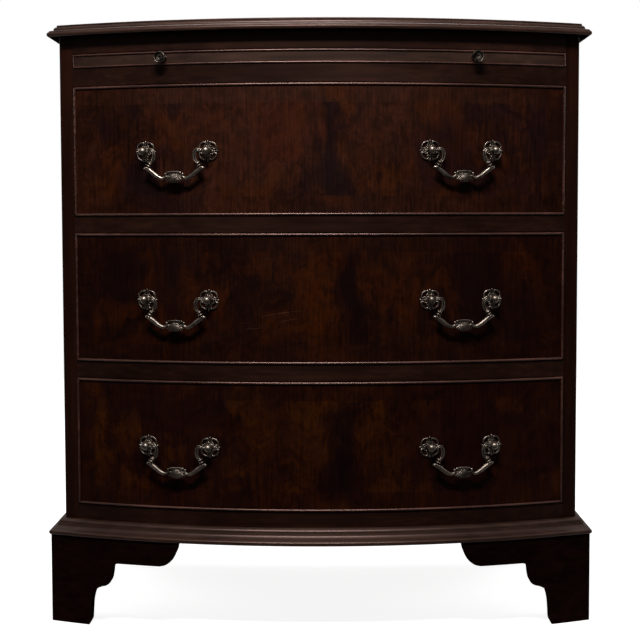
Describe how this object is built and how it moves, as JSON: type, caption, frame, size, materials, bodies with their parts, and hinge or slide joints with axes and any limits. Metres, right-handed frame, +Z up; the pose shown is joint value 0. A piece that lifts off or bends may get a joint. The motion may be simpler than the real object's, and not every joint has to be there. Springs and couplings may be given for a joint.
{
  "type": "bow front chest of drawers",
  "caption": "Bow front chest of drawers with a brushing slide, cock beaded drawer fronts, swan neck handles and bracket feet.",
  "frame": {"origin": "on the floor under the middle of the chest's overall box", "axes": "+Z up, X across the chest, the bowed front faces -Y and the flat back faces +Y"},
  "size_m": [0.7416, 0.4958, 0.81],
  "materials": {
    "polished_mahogany": "dark red-brown mahogany, french polished",
    "figured_veneer": "flame mahogany veneer with crossbanded border, dark polish",
    "bead_mahogany": "rounded mahogany bead, polished, worn at the nose",
    "plain_mahogany": "unpolished mahogany carcase timber",
    "drawer_lining": "oak drawer lining, waxed",
    "back_board": "unpolished back board, brown stained",
    "antique_brass": "cast brass, dulled and darkened with age"
  },
  "bodies": {
    "carcase": {"top_board": "polished_mahogany", "side_panel_left": "polished_mahogany", "side_panel_right": "polished_mahogany", "back_panel": "back_board", "carcase_bottom": "plain_mahogany", "rail_bottom": "polished_mahogany", "rail_lower": "polished_mahogany", "rail_upper": "polished_mahogany", "rail_under_slide": "polished_mahogany", "rail_top": "polished_mahogany", "dust_board_lower": "plain_mahogany", "dust_board_upper": "plain_mahogany", "dust_board_slide": "plain_mahogany", "base_moulding_front": "polished_mahogany", "base_moulding_left": "polished_mahogany", "base_moulding_right": "polished_mahogany", "foot_front_left": "polished_mahogany", "foot_front_right": "polished_mahogany", "foot_back_left": "polished_mahogany", "foot_back_right": "polished_mahogany"},
    "bottom_drawer": {"bottom_drawer_front": "figured_veneer", "bottom_drawer_cock_bead": "bead_mahogany", "bottom_drawer_side_left": "drawer_lining", "bottom_drawer_side_right": "drawer_lining", "bottom_drawer_bottom": "drawer_lining", "bottom_drawer_back": "drawer_lining", "bottom_drawer_left_rosette_left": "antique_brass", "bottom_drawer_left_rosette_right": "antique_brass", "bottom_drawer_right_rosette_left": "antique_brass", "bottom_drawer_right_rosette_right": "antique_brass"},
    "bottom_left_bail": {"bottom_drawer_left_bail": "antique_brass"},
    "bottom_right_bail": {"bottom_drawer_right_bail": "antique_brass"},
    "middle_drawer": {"middle_drawer_front": "figured_veneer", "middle_drawer_cock_bead": "bead_mahogany", "middle_drawer_side_left": "drawer_lining", "middle_drawer_side_right": "drawer_lining", "middle_drawer_bottom": "drawer_lining", "middle_drawer_back": "drawer_lining", "middle_drawer_left_rosette_left": "antique_brass", "middle_drawer_left_rosette_right": "antique_brass", "middle_drawer_right_rosette_left": "antique_brass", "middle_drawer_right_rosette_right": "antique_brass"},
    "middle_left_bail": {"middle_drawer_left_bail": "antique_brass"},
    "middle_right_bail": {"middle_drawer_right_bail": "antique_brass"},
    "top_drawer": {"top_drawer_front": "figured_veneer", "top_drawer_cock_bead": "bead_mahogany", "top_drawer_side_left": "drawer_lining", "top_drawer_side_right": "drawer_lining", "top_drawer_bottom": "drawer_lining", "top_drawer_back": "drawer_lining", "top_drawer_left_rosette_left": "antique_brass", "top_drawer_left_rosette_right": "antique_brass", "top_drawer_right_rosette_left": "antique_brass", "top_drawer_right_rosette_right": "antique_brass"},
    "top_left_bail": {"top_drawer_left_bail": "antique_brass"},
    "top_right_bail": {"top_drawer_right_bail": "antique_brass"},
    "brushing_slide": {"slide_board": "polished_mahogany", "slide_edge_bead": "bead_mahogany", "slide_knob_left": "antique_brass", "slide_knob_right": "antique_brass"}
  },
  "joints": [
    {"name": "bottom_drawer_pull", "type": "slide", "parent": "carcase", "child": "bottom_drawer", "axis": [0, -1, 0], "range_m": [0, 0.3]},
    {"name": "bottom_left_bail_swing", "type": "hinge", "parent": "bottom_drawer", "child": "bottom_left_bail", "pos_m": [-0.19011, -0.21737, 0.247], "axis": [-0.9756, 0.2196, 0], "range_deg": [-12, 120]},
    {"name": "bottom_right_bail_swing", "type": "hinge", "parent": "bottom_drawer", "child": "bottom_right_bail", "pos_m": [0.19011, -0.21737, 0.247], "axis": [-0.9756, -0.2196, 0], "range_deg": [-12, 120]},
    {"name": "middle_drawer_pull", "type": "slide", "parent": "carcase", "child": "middle_drawer", "axis": [0, -1, 0], "range_m": [0, 0.3]},
    {"name": "middle_left_bail_swing", "type": "hinge", "parent": "middle_drawer", "child": "middle_left_bail", "pos_m": [-0.19011, -0.21737, 0.4428], "axis": [-0.9756, 0.2196, 0], "range_deg": [-12, 120]},
    {"name": "middle_right_bail_swing", "type": "hinge", "parent": "middle_drawer", "child": "middle_right_bail", "pos_m": [0.19011, -0.21737, 0.4428], "axis": [-0.9756, -0.2196, 0], "range_deg": [-12, 120]},
    {"name": "top_drawer_pull", "type": "slide", "parent": "carcase", "child": "top_drawer", "axis": [0, -1, 0], "range_m": [0, 0.3]},
    {"name": "top_left_bail_swing", "type": "hinge", "parent": "top_drawer", "child": "top_left_bail", "pos_m": [-0.19011, -0.21737, 0.6386], "axis": [-0.9756, 0.2196, 0], "range_deg": [-12, 120]},
    {"name": "top_right_bail_swing", "type": "hinge", "parent": "top_drawer", "child": "top_right_bail", "pos_m": [0.19011, -0.21737, 0.6386], "axis": [-0.9756, -0.2196, 0], "range_deg": [-12, 120]},
    {"name": "brushing_slide_pull", "type": "slide", "parent": "carcase", "child": "brushing_slide", "axis": [0, -1, 0], "range_m": [0, 0.25]}
  ]
}
